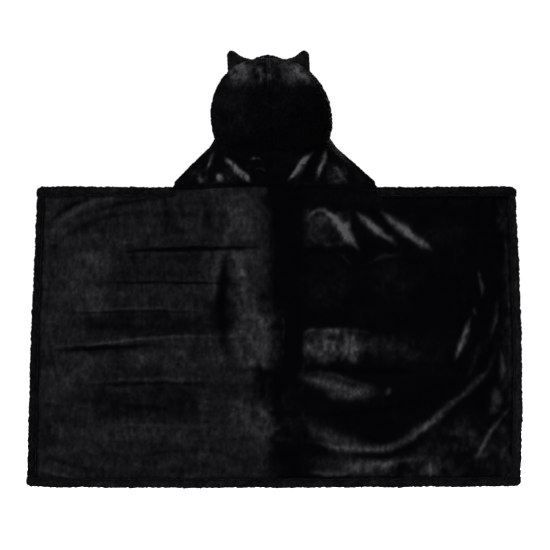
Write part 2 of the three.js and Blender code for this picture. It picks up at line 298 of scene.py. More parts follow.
def stretched_coordinates(tree, scale, turn=0.0):
    coordinates = add(tree, "ShaderNodeTexCoord").outputs["Object"]
    mapping = add(tree, "ShaderNodeMapping", {"Vector": coordinates})
    mapping.inputs["Rotation"].default_value = (0, turn, 0)
    mapping.inputs["Scale"].default_value = scale
    return mapping.outputs["Vector"]


def mixed_colour(tree, share, first, second):
    """A colour mix. A mix node has sockets for every kind of value, so they go by number."""
    mix = add(tree, "ShaderNodeMix", {"Factor": share}, data_type="RGBA")
    mix.inputs[6].default_value = (*first, 1)
    mix.inputs[7].default_value = (*second, 1)
    return mix.outputs[2]


def noise_texture(tree, size, stretch=(1, 1, 1), turn=0.0, detail=3.0, roughness=0.5,
                  distortion=0.0):
    """Noise with lumps of a size in millimetres, as a value from 0 to 1."""
    return add(tree, "ShaderNodeTexNoise", {
        "Vector": stretched_coordinates(tree, stretch, turn), "Scale": 1 / (size * MM),
        "Detail": detail, "Roughness": roughness, "Distortion": distortion,
    }).outputs["Fac"]


def ranged(tree, value, **ends):
    """A value moved from one range to another."""
    inputs = {"Value": value, **{name.replace("_", " ").title(): end for name, end in ends.items()}}
    return add(tree, "ShaderNodeMapRange", inputs).outputs["Result"]


def emboss(tree, shader, height, strength, depth):
    bump = add(tree, "ShaderNodeBump", {"Height": height, "Strength": strength,
                                        "Distance": depth * MM})
    tree.links.new(bump.outputs["Normal"], shader.inputs["Normal"])


PAINTED_SHEEN_CONTRAST = 2.6  # how much faster the plush's colour lightens than its painted sheen level grows


def pile_material(name, dark, light, sheen, pile_size, depth, specular=0.004):
    """Short pile: its base colour lightens with the mesh's painted sheen and shade and its random tone,
    broken by tufts, strokes and patches.
    """
    material, tree, shader = node_material(name, dark, 0.62, sheen, 0.45, specular)
    nap = add(tree, "ShaderNodeAttribute", attribute_name="nap").outputs["Fac"]
    tufts = noise_texture(tree, pile_size, roughness=0.62)
    strokes = noise_texture(tree, 9, (1, 1, 0.3), 0.25, detail=4.0, roughness=0.6, distortion=0.5)
    patchy_sheen = noise_texture(tree, 55, roughness=0.55)
    grain = maths(tree, "ADD", tufts, maths(tree, "MULTIPLY", strokes, 0.8))
    grain = maths(tree, "ADD", grain, maths(tree, "MULTIPLY", patchy_sheen, 0.4))
    level = maths(tree, "MULTIPLY", nap, maths(tree, "DIVIDE", grain, 1.1))
    # The colour runs from the dark plush to the lighter colour of its painted sheen.
    painted_sheen_share = maths(tree, "POWER", maths(tree, "MAXIMUM", level, 0.0), PAINTED_SHEEN_CONTRAST)
    tree.links.new(mixed_colour(tree, painted_sheen_share, dark, light), shader.inputs["Base Color"])
    rough = ranged(tree, tufts, from_min=0.3, from_max=0.7, to_min=0.5, to_max=0.75)
    tree.links.new(rough, shader.inputs["Roughness"])
    relief = maths(tree, "ADD", tufts, maths(tree, "MULTIPLY", strokes, 0.8))
    emboss(tree, shader, relief, 0.9, depth)
    return material


def woven_material(name, colour, sheen, thread, depth):
    """Fine twill: two crossed sets of ribs, with slight colour change from thread to thread."""
    material, tree, shader = node_material(name, colour, 0.6, sheen, 0.5, 0.08)
    ribs = [
        add(tree, "ShaderNodeTexWave", {
            "Vector": stretched_coordinates(tree, (1, 1, 1), turn),
            "Scale": 1 / (thread * MM * 20), "Distortion": 0.4, "Detail": 1.0,
        }, bands_direction="X").outputs["Fac"]
        for turn in (0.8, -0.8)
    ]
    weave = maths(tree, "MULTIPLY", ribs[0], ribs[1])
    shade = ranged(tree, weave, to_min=0.75, to_max=1.15)
    mixed = add(tree, "ShaderNodeVectorMath", operation="SCALE")
    mixed.inputs[0].default_value = colour
    tree.links.new(shade, mixed.inputs["Scale"])
    tree.links.new(mixed.outputs[0], shader.inputs["Base Color"])
    emboss(tree, shader, weave, 0.7, depth)
    return material


def wadding_material(name):
    """Loose white fibres."""
    material, tree, shader = node_material(name, (0.8, 0.79, 0.76), 0.95, 0.2, 0.6, 0.1)
    fibres = noise_texture(tree, 3, (1, 0.2, 1), 0.6, detail=4.0, distortion=1.2)
    ramp = add(tree, "ShaderNodeValToRGB", {"Fac": fibres})
    ramp.color_ramp.elements[0].color = (0.6, 0.59, 0.56, 1)
    ramp.color_ramp.elements[1].color = (0.86, 0.85, 0.83, 1)
    tree.links.new(ramp.outputs["Color"], shader.inputs["Base Color"])
    emboss(tree, shader, fibres, 0.8, 1.5)
    return material


# Each pile's second colour is the lightest it is painted, where the mesh paints sheen or lighter tone.
PLUSH = pile_material("black plush", (0.0005, 0.0005, 0.0008), (0.046, 0.0465, 0.048),
                      0.0012, 2.4, 1.6)
FLEECE = pile_material("black fleece", (0.0022, 0.0022, 0.0026), (0.070, 0.070, 0.072),
                       0.006, 3.2, 1.2)
EDGE = pile_material("fuzzy edge plush", (0.0007, 0.0007, 0.0010), (0.044, 0.0445, 0.046),
                     0.002, 2.0, 1.8)
TAPE = woven_material("black twill tape", (0.004, 0.004, 0.005), 0.01, 0.9, 0.3)
SATIN = woven_material("white satin", (0.66, 0.66, 0.65), 0.1, 0.5, 0.1)
THREAD = woven_material("black thread", (0.008, 0.008, 0.009), 0.1, 0.4, 0.2)
WADDING = wadding_material("white wadding")

# The lowest level of painted sheen and tone.
PAINTED_SHEEN_FLOOR = 0.02
LINING_TONE_LEVEL = 0.4  # the fleece lining's even tone level on the same scale, before its lumps

# ------------------------------ meshes


# The mesh's level of painted sheen and shade, with random tone, which the pile materials read.
def set_painted_sheen_and_tone(mesh, nap):
    attribute = mesh.attributes.new("nap", "FLOAT", "POINT")
    attribute.data.foreach_set("value", np.asarray(nap, np.float32).ravel())


def finish_mesh(name, points, faces, material, nap=None):
    mesh = bpy.data.meshes.new(name)
    mesh.from_pydata((np.asarray(points) * MM).tolist(), [], faces)
    mesh.materials.append(material)
    mesh.polygons.foreach_set("use_smooth", np.ones(len(mesh.polygons), bool))
    if nap is not None:
        set_painted_sheen_and_tone(mesh, nap)
    mesh.validate()
    piece = bpy.data.objects.new(name, mesh)
    bpy.context.scene.collection.objects.link(piece)
    return piece


def signed_volume(points, faces):
    quads = np.array([face[:4] if len(face) >= 4 else (*face, face[-1]) for face in faces])
    a, b, c, d = (points[quads[:, i]] for i in range(4))
    return float(np.einsum("ij,ij->", a, np.cross(b, c)) + np.einsum("ij,ij->", a, np.cross(c, d)))


def layer_piece(name, outer, inner, material, nap=None, thinning=1):
    """A closed cloth from its two faces, each a grid of points. The inner grid may hold only
    every second point of the outer one each way (thinning 2)."""
    rows, columns = outer.shape[0] - 1, outer.shape[1] - 1
    outer_at = np.arange((rows + 1) * (columns + 1)).reshape(rows + 1, columns + 1)
    count = outer_at.size
    inner_at = count + np.arange(inner.shape[0] * inner.shape[1]).reshape(inner.shape[:2])

    def quads(at):
        corners = (at[:-1, :-1], at[:-1, 1:], at[1:, 1:], at[1:, :-1])
        return np.stack([corner.ravel() for corner in corners], -1)

    faces = quads(outer_at).tolist() + quads(inner_at)[:, ::-1].tolist()
    for fine, coarse in (
        (outer_at[0], inner_at[0]),
        (outer_at[:, -1], inner_at[:, -1]),
        (outer_at[-1, ::-1], inner_at[-1, ::-1]),
        (outer_at[::-1, 0], inner_at[::-1, 0]),
    ):
        for i in range(len(coarse) - 1):
            start = i * thinning
            edge = fine[start:start + thinning + 1]
            faces.append([int(v) for v in (*edge[::-1], coarse[i], coarse[i + 1])])
    points = np.concatenate([outer.reshape(-1, 3), inner.reshape(-1, 3)])
    if signed_volume(points, faces) < 0:
        faces = [face[::-1] for face in faces]
    if nap is not None:
        nap = np.concatenate([nap.ravel(), np.zeros(inner_at.size)])
    return finish_mesh(name, points, faces, material, nap)


def tube_faces(steps, sides):
    """The faces of a tube of rings, with a flat cap at each end."""
    at = np.arange(steps * sides).reshape(steps, sides)
    around = np.roll(at, -1, axis=1)
    corners = (at[:-1], around[:-1], around[1:], at[1:])
    faces = np.stack([corner.ravel() for corner in corners], -1).tolist()
    return faces + [at[0, ::-1].tolist(), at[-1].tolist()]


def tube_piece(name, rings, material, nap=None):
    """A closed roll through rings of points."""
    faces = tube_faces(*rings.shape[:2])
    points = rings.reshape(-1, 3)
    if signed_volume(points, [face for face in faces if len(face) == 4]) < 0:
        faces = [face[::-1] for face in faces]
    return finish_mesh(name, points, faces, material, nap)


def stitch_row(name, path, out, pitch=4.2, length=3.0, radius=0.42):
    """Short thread stitches along a path, lying on the side that out points to."""
    gaps = np.linalg.norm(np.diff(path, axis=0), axis=1)
    reach = np.concatenate([[0], np.cumsum(gaps)])
    sides = 6
    turns = 2 * math.pi * np.arange(sides)[:, None] / sides
    profile = ((0, -0.5, 0.45), (0.18, 0.3, 1), (0.82, 0.3, 1), (1, -0.5, 0.45))
    one_stitch = tube_faces(len(profile), sides)
    points, faces = [], []

    def at_reach(values, distance):
        return np.array([np.interp(distance, reach, values[:, i]) for i in range(3)])

    for start in np.arange(pitch / 2, reach[-1] - length, pitch):
        base = sides * len(points)
        for share, lift, size in profile:
            at = start + share * length
            middle = at_reach(path, at)
            ahead = at_reach(path, at + 0.5) - middle
            up = at_reach(out, at)
            across = np.cross(ahead / max(np.linalg.norm(ahead), 1e-9), up)
            ring = np.cos(turns) * across + np.sin(turns) * up
            points.append(middle + up * lift * radius + ring * radius * size)
        faces += [[base + vertex for vertex in face] for face in one_stitch]
    return finish_mesh(name, np.concatenate(points), faces, THREAD)


def place(piece, slot, replaced=(), ride=None, blend=None):
    """Hides the nodes that a piece stands for, puts it on the body that it rides with, and bakes the
    transform of a blended piece.
    """
    if replaced:
        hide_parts(*replaced)
    if ride:
        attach(piece, ride)
    if blend:
        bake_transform(piece)
    return piece


def wing_blend(name, side):
    """The back, a wing, and the two ends of the stretch beside the fold line, named for a body piece's
    blend.
    """
    start, end = ((side * (fold_line + reach) * MM, 0, 0) for reach in wing_bend)
    return "back", f"{name}_wing", start, end


# ------------------------------ cape body

# Each fold is real relief, and its last value paints a highlight of sheen along its ridge or shade
# along its crease into the colour.
BODY_FOLDS = [
    # packing creases across the wearer's left half
    Fold([(-400, -168), (-300, -164), (-150, -162), (-34, -158)], 6, -3.2, -0.36),
    Fold([(-405, -178), (-200, -173), (-40, -170)], 6, 1.8, 0.06),
    Fold([(-432, -252), (-260, -252), (-79, -256)], 3.6, -2.2, -0.24),
    Fold([(-560, -331), (-400, -328), (-183, -327)], 3.8, -1.8, -0.14),
    Fold([(-540, -322), (-400, -321), (-200, -320)], 4, 1.4, 0.10),
    Fold([(-577, -421), (-450, -412), (-314, -394), (-150, -390), (-60, -392)], 4.5, 2.6, 0.22),
    Fold([(-590, -432), (-450, -424), (-300, -414)], 6, -2.4, -0.22),
    Fold([(-490, -519), (-350, -514), (-170, -513)], 4.5, -2.4, -0.16),
    Fold([(-470, -508), (-350, -504), (-170, -503)], 5, 1.4, 0.10),
    Fold([(-440, -626), (-300, -625), (-110, -628)], 5, 2.0, 0.12),
    Fold([(-350, -700), (-220, -690), (-120, -700), (-60, -740)], 7, -1.6, -0.10),
    Fold([(-128, -170), (-136, -250), (-140, -330), (-132, -430)], 15, -2.8, -0.30),
    Fold([(-98, -60), (-128, -140), (-156, -235), (-160, -310)], 11, 2.4, 0.22),
    Fold([(-96, -170), (-84, -240), (-70, -300)], 12, 1.8, 0.10),
    Fold([(-40, -330), (-26, -400), (-10, -470)], 9, 2.0, 0.12),
    Fold([(-62, -420), (-40, -470), (-30, -560)], 7, -2.0, -0.2),
    Fold([(-130, -60), (-110, -34), (-70, -24)], 7, 1.8, 0.14),
    Fold([(-200, -30), (-176, -64), (-170, -120)], 12, -1.8, -0.14),
    Fold([(-290, -30), (-282, -80), (-284, -130)], 16, -1.6, -0.12),
    # drag lines that run into the wearer's left shoulder
    Fold([(-600, -124), (-545, -72), (-472, -38), (-360, -18)], 9, 3.2, 0.17),
    Fold([(-604, -98), (-550, -52), (-480, -30)], 7, -2.2, -0.22),
    Fold([(-596, -170), (-540, -122), (-450, -84), (-350, -66)], 8, -1.8, -0.14),
    Fold([(-470, -62), (-380, -40), (-290, -32)], 6, -1.8, -0.16),
    Fold([(-616, -738), (-560, -756), (-485, -768)], 6, 2.4, 0.16),
    Fold([(-600, -700), (-540, -728), (-460, -738)], 6, -1.8, -0.12),
    # the soft trough down the middle, with its sharp edge on the wearer's right
    Fold([(76, -120), (74, -300), (76, -480), (72, -640), (66, -760)], 5, 2.2, 0.03),
    Fold([(20, -340), (22, -380), (20, -420)], 3, 1.2, 0.2),
    # drag lines under the hood, running down to the wearer's right
    Fold([(132, -62), (172, -104), (220, -166)], 12, 4.4, 0.92),
    Fold([(84, -84), (112, -62), (148, -76), (178, -122), (196, -160)], 6, 2.4, 0.34),
    Fold([(92, -120), (108, -146), (150, -156)], 6, 1.6, 0.22),
    Fold([(213, -68), (256, -104), (312, -148)], 11, 4.2, 0.88),
    Fold([(281, -66), (334, -110), (412, -166)], 12, 4.4, 0.96),
    Fold([(250, -60), (300, -96), (356, -150)], 9, -2.6, -0.1),
    Fold([(168, -176), (186, -190), (200, -206)], 5, 1.6, 0.24),
    Fold([(246, -200), (284, -182), (324, -178)], 6, 1.6, 0.22),
    # the long arc across the wearer's right half
    Fold([(86, -666), (189, -684), (301, -681), (380, -633), (451, -578), (511, -524),
          (555, -479), (580, -419)], 10, 4.4, 0.50),
    Fold([(96, -694), (180, -704), (290, -702), (390, -655), (470, -590)], 9, -2.4, -0.06),
    # short ridges along the wearer's right edge, with painted shine on them
    Fold([(532, -222), (537, -256), (540, -290)], 6, 2.6, 0.50),
    Fold([(512, -344), (490, -400), (468, -458)], 9, 3.0, 0.74),
    Fold([(520, -312), (526, -338)], 6, 1.4, 0.34),
    Fold([(582, -300), (576, -352), (562, -400)], 6, 2.4, 0.34),
    Fold([(588, -424), (596, -470), (592, -510)], 7, 2.4, 0.34),
    Fold([(576, -520), (578, -560), (560, -596)], 15, 2.2, 0.50),
    Fold([(610, -580), (566, -640), (524, -716)], 7, 2.8, 0.50),
    Fold([(504, -500), (524, -440), (540, -400)], 7, 2.0, 0.20),
    Fold([(606, -100), (612, -300), (616, -520)], 5, 1.6, 0.16),
    # across the lower part of the wearer's right half
    Fold([(66, -416), (140, -420), (214, -424), (250, -424)], 26, 0.8, 0.28),
    Fold([(74, -496), (130, -518), (190, -534), (266, -536)], 23, 1.8, 0.66),
    Fold([(80, -604), (116, -640), (170, -662), (262, -688)], 24, 1.4, 0.42),
    Fold([(64, -716), (150, -722), (230, -730), (330, -720)], 22, 1.0, 0.30),
    Fold([(78, -744), (150, -752), (216, -742)], 9, 2.4, 0.42),
    Fold([(230, -730), (310, -720), (430, -706)], 9, 1.8, 0.22),
    Fold([(110, -478), (210, -484), (360, -482)], 6, -2.6, -0.10),
    Fold([(84, -596), (190, -592), (300, -580), (380, -560)], 7, -2.6, -0.10),
    Fold([(80, -380), (170, -376), (260, -380)], 6, 2.2, 0.22),
    Fold([(96, -486), (150, -494), (240, -520), (262, -524)], 8, 2.2, 0.24),
    Fold([(286, -546), (296, -536), (300, -524)], 9, 1.8, 0.40),
]

# Patches of painted sheen and shade: the whole left half painted lighter, darker painted shade in the
# dips, and lighter painted sheen on the right half.
BODY_PATCHES = [
    Patch((-660, -820), (-14, 60), 22, 0.265, broken=False),
    Patch((-420, -248), (-190, -176), 16, -0.09, -0.8, broken=False),
    Patch((-490, -388), (-176, -334), 12, -0.13, -1.2, broken=False),
    Patch((-560, -446), (-330, -424), 12, -0.12, -0.8),
    Patch((-474, -606), (-196, -522), 14, -0.13, -1.4, broken=False),
    Patch((-170, -376), (-106, -300), 10, -0.13, -0.8, broken=False),
    Patch((-360, -470), (-140, -436), 12, 0.07, 0.8),
    Patch((-560, -330), (-440, -150), 30, 0.07),
    Patch((-600, -520), (-470, -450), 24, 0.06),
    Patch((-126, -140), (-50, -24), 16, 0.13, 0.6),
    Patch((-110, -480), (-46, -170), 14, 0.13, 0.8),
    Patch((-60, -470), (16, -330), 14, 0.20, 0.8),
    Patch((-116, -656), (6, -556), 14, 0.13, 1.0),
    Patch((-60, -790), (30, -720), 18, 0.12, 0.6),
    Patch((-50, -300), (-20, -270), 10, -0.14, -0.6),
    Patch((-60, -570), (20, -480), 14, -0.16, -0.8),
    Patch((-4, -820), (66, 60), 14, -0.05, -2.4, broken=False),
    Patch((78, -162), (190, -62), 10, 0.26, 1.2),
    Patch((76, -466), (214, -378), 12, 0.34, 1.6),
    Patch((180, -462), (350, -388), 30, 0.20, 0.8),
    Patch((340, -460), (440, -400), 30, 0.10, 0.4),
    Patch((90, -314), (190, -208), 22, 0.10, 0.6),
    Patch((268, -288), (356, -200), 24, 0.10, 0.4),
    Patch((376, -166), (500, -92), 22, 0.09, 0.4),
    Patch((380, -770), (600, -620), 40, 0.21, 0.5),
    Patch((190, -776), (420, -700), 30, 0.20, 0.5),
    Patch((-40, -680), (60, -540), 24, 0.14),
    Patch((100, -40), (620, -2), 14, 0.06, 0.4),
    Patch((596, -776), (660, -40), 10, 0.16),
    Patch((-660, -820), (660, -764), 10, 0.05),
]


def neck_bow(across):
    return seam_bow * np.cos(np.pi / 2 * np.clip(across / neck_half, -1, 1))


def settled(across, down):
    """The cloth's own outline as it hangs: rounded corners, a bowed side and a soft hem."""
    share = down / body_drop
    outward = np.abs(across) / half_width
    corner = 13.0
    from_side = np.clip(1 - (half_width - np.abs(across)) / corner, 0, 1)
    from_end = np.clip(1 - np.minimum(down, body_drop - down) / corner, 0, 1)
    trim_side = from_side * (1 - np.sqrt(1 - from_end ** 2 / 2))
    trim_end = from_end * (1 - np.sqrt(1 - from_side ** 2 / 2))
    full = 5 + 6 * np.sin(np.pi * share) - 7 * share ** 4
    slant = 4 * (1 - share) ** 6 - 6 * share
    sideways = np.where(across > 0, full, slant) * outward ** 3 - np.sign(across) * corner * trim_side
    hem = share ** 4 * (1.6 * np.cos(np.pi * across / 900 + 0.6) + 0.9)
    rise = -4.5 * (1 - share) ** 8 * smooth(0.42, 1, outward)
    bow = neck_bow(across) * (1 - smooth(0, 60, down))
    ripple = 1.1 * flat_noise(across, down, (46, 46), 3)
    edge_share = smooth(0.9, 1, np.maximum(outward, share))
    towards_middle = np.where(down < body_drop / 2, 1.0, -1.0)
    return (
        across + sideways + edge_share * ripple * outward,
        down + hem + rise - bow + towards_middle * corner * trim_end + edge_share * ripple * share,
    )


def body_relief(across, down):
    """How far the whole thickness of the body stands out towards the back, and its painted sheen and
    shade with random tone on top.
    """
    height, nap = laid(BODY_FOLDS, BODY_PATCHES, across, -down)
    height = height + 2.6 * flat_noise(across, down, (150, 190), 1)
    height += 1.1 * flat_noise(across, down, (52, 60), 2)
    held = smooth(0, 22, np.minimum(half_width - np.abs(across), body_drop - down))
    held = held * smooth(0, 18, down)
    left = 1 - smooth(-60, 30, across)
    packed = 0.06 * flat_noise(across, down, (120, 14), 6)
    stroked = 0.04 * flat_noise(across, down, (14, 26), 8)
    mottled = 0.05 * flat_noise(across, down, (18, 16), 9)
    mottled = mottled + 0.05 * flat_noise(across, down, (50, 46), 10)
    nap = nap + (0.4 + 0.4 * left) * (packed + stroked + mottled) + 0.12
    return height * held, np.maximum(nap, PAINTED_SHEEN_FLOOR)


def on_body(across, down, through):
    """The hanging cloth. through is measured from mid-cloth towards the wearer."""
    relief, _ = body_relief(across, down)
    across, down = settled(across, down)
    through = through - relief
    beyond = np.maximum(np.abs(across) - fold_line, 0)
    wrap = top_wrap + (bottom_wrap - top_wrap) * down / body_drop
    radius = wing_length / wrap
    turn = beyond / radius
    flat = np.minimum(np.abs(across), fold_line)
    return np.stack([
        np.sign(across) * (flat + (radius - through) * np.sin(turn)),
        radius - (radius - through) * np.cos(turn),
        -down,
    ], -1)


def hem_valley(across, down):
    """How deep the cloth is drawn in by the stitching beside its edges and its neck seam."""
    wing = smooth(fold_line - 12, fold_line + 12, np.abs(across))
    from_edge = np.minimum(half_width - np.abs(across), body_drop - down)
    from_edge = np.minimum(from_edge, down + 600 * (1 - wing))
    hem = 1.7 * np.exp(-((from_edge - binding_width - 1) / 5) ** 2)
    neck = (1 - wing) * 2.6 * np.exp(-(down / 5) ** 2)
    return hem + neck


def body_cloth(name, side, kind):
    """One half of the body's plush or lining, from the middle to the side edge."""
    columns, rows = (256, 300) if kind == "plush" else (180, 210)
    grid_across, grid_down = np.meshgrid(
        side * np.linspace(0, half_width - edge_inset, columns + 1),
        np.linspace(0, body_drop - edge_inset, rows + 1),
    )
    wing = smooth(fold_line - 2, fold_line + 2, np.abs(grid_across))
    grid_down = np.maximum(grid_down, edge_inset * wing)
    if kind == "plush":
        face, back = outside, outside + plush_cloth
    else:
        face, back = inside, inside - lining_cloth
    flat = np.stack([grid_across, grid_down, np.zeros_like(grid_across)], -1)
    tufts = lumps(flat, (0.9, 5.5, 1), (0.4, 12.0, 2))
    raised = np.sign(back - face) * (hem_valley(grid_across, grid_down) + tufts)
    _, nap = body_relief(grid_across, grid_down)
    long_tufts = noise(flat / (1, 2, 1), 9.0, 6)
    nap = nap * (1 + 0.24 * noise(flat, 6.5, 5) + 0.12 * long_tufts)
    if kind != "plush":
        nap = LINING_TONE_LEVEL + lumps(flat, (0.12, 90.0, 3), (0.10, 16.0, 4))
    outer = on_body(grid_across, grid_down, face + raised)
    inner = on_body(grid_across, grid_down, np.full_like(grid_across, back))[::2, ::2]
    material = PLUSH if kind == "plush" else FLEECE
    piece = layer_piece(f"{name}_body_{kind}", outer, inner, material, nap, thinning=2)
    node = "shell" if kind == "plush" else "lining"
    place(piece, "outer_plush" if kind == "plush" else "lining_fleece",
          [f"back_panel_{node}", f"{name}_wing_{node}"], blend=wing_blend(name, side))
    return piece


def binding_section(turns):
    """The folded strip's section: distance from the edge and through the cloth, for shares 0 to
    1 from its stitched line on the outside, round the edge, to its stitched line inside."""
    from_edge = np.interp(turns, [0, 0.42, 0.5, 0.58, 1], [binding_width, 3.4, 0.0, 3.4, binding_width])
    bulge = np.sin(np.pi * np.clip((binding_width - from_edge) / binding_width, 0, 1))
    reach = inside + binding_gap + binding_cloth
    side = np.interp(turns, [0, 0.42, 0.5, 0.58, 1], [-1, -0.86, 0, 0.86, 1])
    pinch = 1.6 * np.exp(-((from_edge - binding_width + 4) / 2.6) ** 2)
    return from_edge, side * (reach + 1.3 * bulge - pinch * np.abs(side))


def binding(name, label, side, edge, start, end, replaced, ride=None, blend=None):
    """A fuzzy plush strip folded over the bottom, top or side edge."""
    steps = int(abs(end - start) / 2.6)
    turns = np.linspace(0, 1, 31)
    along, turn = np.meshgrid(np.linspace(start, end, steps // 2 * 2 + 1), turns, indexing="ij")
    from_edge, through = binding_section(turn)
    pack = np.stack([along, from_edge * 1.3, through * 1.3], -1)
    fuzz = lumps(pack, (1.9, 4.4, 11), (0.9, 9.0, 12))
    rounded = np.exp(-((turn - 0.5) / 0.12) ** 2)
    swell = np.where((turn > 0.04) & (turn < 0.96), 1.0, 0.2)

    def put(edge_distance, depth):
        if edge == "bottom":
            return on_body(along, body_drop - edge_distance, depth)
        if edge == "top":
            return on_body(along, edge_distance, depth)
        return on_body(side * (half_width - edge_distance), along, depth)

    middle_depth = np.where(np.abs(through) < 0.5, 0, np.sign(through))
    outer = put(from_edge - fuzz * rounded * 1.3 * swell, through + middle_depth * fuzz * 0.7 * swell)
    core = np.clip(from_edge, binding_cloth, None)
    held = np.clip(through, -(inside + binding_gap), inside + binding_gap)
    inner = put(core, held)[::2, ::2]
    # Painted sheen for each edge: the top darker than the bottom, the wearer's right side lighter than
    # the left, and lighter on the raised tufts.
    shade = {"bottom": 0.33, "top": 0.27, "side": 0.31 + 0.07 * side}[edge]
    nap = shade + 0.07 * fuzz + 0.08 * noise(pack, 28.0, 13)
    # Painted shade along the groove of the stitched line.
    nap = nap * (1 - 0.5 * np.exp(-((from_edge - binding_width + 4) / 2.4) ** 2))
    piece = layer_piece(f"{name}_{label}", outer, inner, EDGE, nap, thinning=2)
    place(piece, "edge_plush", replaced, ride=ride, blend=blend)
    seam = np.linspace(start + np.sign(end - start) * 5, end - np.sign(end - start) * 5, steps)
    depth = -(inside + binding_gap + binding_cloth - 1.2)
    along = seam
    path = put(np.full_like(seam, binding_width - 4), np.full_like(seam, depth))
    out = put(np.full_like(seam, binding_width - 4), np.full_like(seam, depth - 1)) - path
    stitches = stitch_row(f"{name}_{label}_stitches", path, out)
    place(stitches, "edge_plush", ride=ride, blend=blend)


def body_half(name, side):
    body_cloth(name, side, "plush")
    body_cloth(name, side, "lining")
    bend = wing_blend(name, side)
    binding(name, "bottom_edge", side, "bottom", side * 0.15, side * half_width,
            ["back_bottom_binding", f"{name}_bottom_binding"], blend=bend)
    binding(name, "top_edge", side, "top", side * (neck_half - 4), side * half_width,
            [f"{name}_top_binding"], blend=bend)
    binding(name, "side_edge", side, "side", binding_width - 3, body_drop - binding_width + 3,
            [f"{name}_side_binding"], ride=f"{name}_wing")


def strip_on_body(label, low, high, cloth, material, painted_sheen_and_tone_level, cells):
    """A flat strip on the inside of the body."""
    grid_across, grid_down = np.meshgrid(
        np.linspace(low[0], high[0], cells[0] + 1), np.linspace(low[1], high[1], cells[1] + 1))
    flat = np.stack([grid_across, grid_down, np.zeros_like(grid_across)], -1)
    lift = inside + layer_gap + 0.25 + 0.2 * noise(flat, 30.0, 21)
    outer = on_body(grid_across, grid_down, lift + cloth)
    inner = on_body(grid_across, grid_down, lift)
    return layer_piece(label, outer, inner, material, np.full(grid_across.shape, painted_sheen_and_tone_level))


def neck_fittings():
    top = 2.7
    tape_low = (-neck_half, top)
    tape_high = (neck_half, top + neck_tape_width)
    tape = strip_on_body("neck_seam_tape", tape_low, tape_high, tape_cloth, TAPE, 0.2, (200, 8))
    place(tape, "tape", ["neck_tape"], ride="back")
    for number, down in enumerate((top + 2.5, top + neck_tape_width - 2.5)):
        across = np.linspace(-neck_half + 4, neck_half - 4, 200)
        depth = inside + layer_gap + tape_cloth + 0.35
        path = on_body(across, np.full_like(across, down), np.full_like(across, depth))
        out = np.tile([0.0, 1.0, 0.0], (len(path), 1))
        stitches = stitch_row(f"neck_tape_stitches_{number + 1}", path, out)
        place(stitches, "tape", ride="back")
    label_top = top + neck_tape_width + 0.6
    label = strip_on_body("blank_care_label", (-label_width / 2, label_top),
                          (label_width / 2, label_top + label_height), label_cloth, SATIN, 0.5,
                          (24, 36))
    place(label, "label_satin", ["care_label"], ride="back")


# ------------------------------ hood

face_normal = np.array([0, math.cos(face_tilt), math.sin(face_tilt)])
face_up = np.array([0, -math.sin(face_tilt), math.cos(face_tilt)])
neckline_slope = math.tan(neckline_tilt)


def reach_ball(start, direction, inset=0.0):
    """Distance from start to the ball's surface along unit directions, from its middle. The
    surface isn't quite an ellipsoid, so the distance is found by halving."""
    axes = ball_axes - inset
    near = np.zeros(direction.shape[:-1])
    far = np.full(direction.shape[:-1], 2 * ball_axes.max())
    for _ in range(30):
        middle = (near + far) / 2
        point = np.abs(start + direction * middle[..., None]) / axes
        within = np.sum(point ** ball_squareness, axis=-1) < 1
        near = np.where(within, middle, near)
        far = np.where(within, far, middle)
    return near


def corner_line():
    """Where face opening and neckline meet, in the middle plane and measured from the ball's
    middle, and half the width of the ball there."""
    forward = (face_reach + neckline_drop * face_normal[2]) / (
        face_normal[1] + neckline_slope * face_normal[2])
    middle = np.array([0, forward, forward * neckline_slope - neckline_drop])
    return middle, float(reach_ball(middle, np.array([[1.0, 0, 0]]))[0])


corner_middle, corner_half = corner_line()
corner_turn = math.atan2(corner_half, -corner_middle[1])
start_turn = math.atan2(-math.sin(neckline_tilt), -math.cos(neckline_tilt)) + 2 * math.pi
end_turn = math.atan2(face_up[2], face_up[1])


def lean(points):
    """The whole hood leans to the wearer's left, more towards the crown."""
    moved = points.copy()
    moved[..., 0] += hood_lean * np.maximum(points[..., 2], 0)
    return moved


def hood_layer(name, side, label, outer, inner, material, nap):
    """A closed layer of one half of the hood, cut at the middle plane and leaning."""
    for face in (outer, inner):
        face[..., 0] = side * np.maximum(side * face[..., 0], 0)
    return layer_piece(f"{name}_{label}", lean(outer), lean(inner), material,
                       np.maximum(nap, PAINTED_SHEEN_FLOOR), thinning=2)


# Folds and patches of painted sheen on the crown: a painted highlight across the top of the ball, its
# left side painted lighter, and painted shade along some creases.
CROWN_FOLDS = [
    Fold([(-14, 338), (-10, 300), (-12, 262)], 6, -1.0, -0.18),
    Fold([(-44, 330), (-38, 296), (-30, 268)], 7, -0.9, -0.20),
    Fold([(-66, 322), (-60, 300), (-58, 282)], 6, 0.8, 0.16),
    Fold([(-26, 336), (-24, 300), (-20, 276)], 5, 0.8, 0.22),
    Fold([(-100, 300), (-84, 318), (-60, 330)], 12, 0.8, 0.30),
    Fold([(24, 335), (22, 300), (16, 262)], 8, -0.8, -0.12),
    Fold([(50, 326), (84, 306), (112, 268)], 13, 0.8, 0.40),
    Fold([(-10, 236), (14, 212), (40, 222), (62, 240)], 9, 0.8, 0.07),
    Fold([(-20, 220), (4, 206), (14, 196)], 5, 0.8, 0.10),
    Fold([(-60, 160), (-66, 140), (-58, 118)], 6, 0.8, 0.06),
    Fold([(40, 180), (70, 172), (84, 184)], 6, 0.8, 0.06),
]
CROWN_PATCHES = [
    Patch((-170, 150), (-58, 300), 34, 0.09),
    Patch((-124, 276), (120, 360), 22, 0.32),
    Patch((-4, 210), (120, 262), 22, 0.04),
    Patch((0, 256), (112, 330), 30, 0.10, broken=False),
    Patch((-120, 262), (-30, 330), 30, 0.06, broken=False),
]


